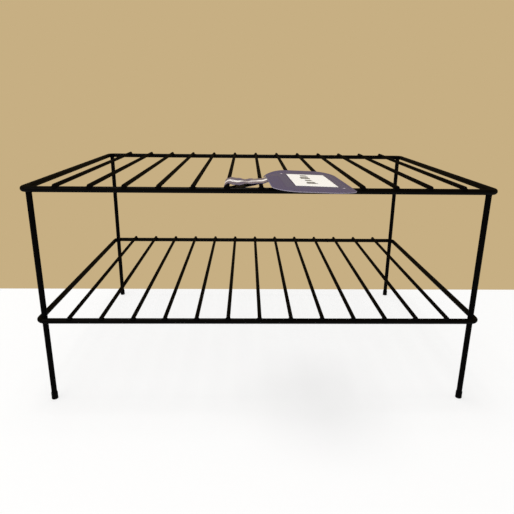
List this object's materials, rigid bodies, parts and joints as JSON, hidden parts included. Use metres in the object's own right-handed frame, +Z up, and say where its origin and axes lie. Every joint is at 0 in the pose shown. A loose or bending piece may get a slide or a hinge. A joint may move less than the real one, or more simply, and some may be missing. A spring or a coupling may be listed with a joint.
{
  "type": "cabinet rack",
  "caption": "Two-tier cabinet rack of coated wire: rectangular rings with front-to-back crossbars on four straight capped legs, with a hang tag looped round one upper bar.",
  "frame": {"origin": "middle of the whole part's footprint, the tag's overhang included, on the surface that the feet stand on", "axes": "+X to the rack's right along its long side, +Y from its front to its rear, +Z up"},
  "size_m": [0.4, 0.321, 0.2077],
  "materials": {
    "frame_coating": "satin black powder coat on heavy steel wire",
    "bar_coating": "satin black powder coat on thin steel wire",
    "leg_coating": "satin black powder coat on heavy steel wire",
    "cap_vinyl": "soft black vinyl, slightly dull",
    "tag_card": "muted purple laminated card, satin",
    "tag_label": "off-white label paper, bare but for plain rules",
    "tag_strap": "glossy purple plastic film with a pale stripe along it"
  },
  "bodies": {
    "rack": {"upper_frame": "frame_coating", "lower_frame": "frame_coating", "upper_bar_01": "bar_coating", "upper_bar_02": "bar_coating", "upper_bar_03": "bar_coating", "upper_bar_04": "bar_coating", "upper_bar_05": "bar_coating", "upper_bar_06": "bar_coating", "upper_bar_07": "bar_coating", "upper_bar_08": "bar_coating", "upper_bar_09": "bar_coating", "upper_bar_10": "bar_coating", "upper_bar_11": "bar_coating", "upper_bar_12": "bar_coating", "upper_bar_13": "bar_coating", "lower_bar_01": "bar_coating", "lower_bar_02": "bar_coating", "lower_bar_03": "bar_coating", "lower_bar_04": "bar_coating", "lower_bar_05": "bar_coating", "lower_bar_06": "bar_coating", "lower_bar_07": "bar_coating", "lower_bar_08": "bar_coating", "lower_bar_09": "bar_coating", "lower_bar_10": "bar_coating", "lower_bar_11": "bar_coating", "lower_bar_12": "bar_coating", "lower_bar_13": "bar_coating", "leg_front_left": "leg_coating", "leg_front_right": "leg_coating", "leg_rear_left": "leg_coating", "leg_rear_right": "leg_coating", "foot_cap_front_left": "cap_vinyl", "foot_cap_front_right": "cap_vinyl", "foot_cap_rear_left": "cap_vinyl", "foot_cap_rear_right": "cap_vinyl"},
    "hang_tag": {"tag_card": "tag_card", "tag_label": "tag_label", "tag_strap": "tag_strap"}
  },
  "joints": [
    {"name": "tag_swing", "type": "hinge", "parent": "rack", "child": "hang_tag", "pos_m": [-0.02821, 0.0205, 0.2031], "axis": [0, -1, 0], "range_deg": [0, 165]}
  ]
}
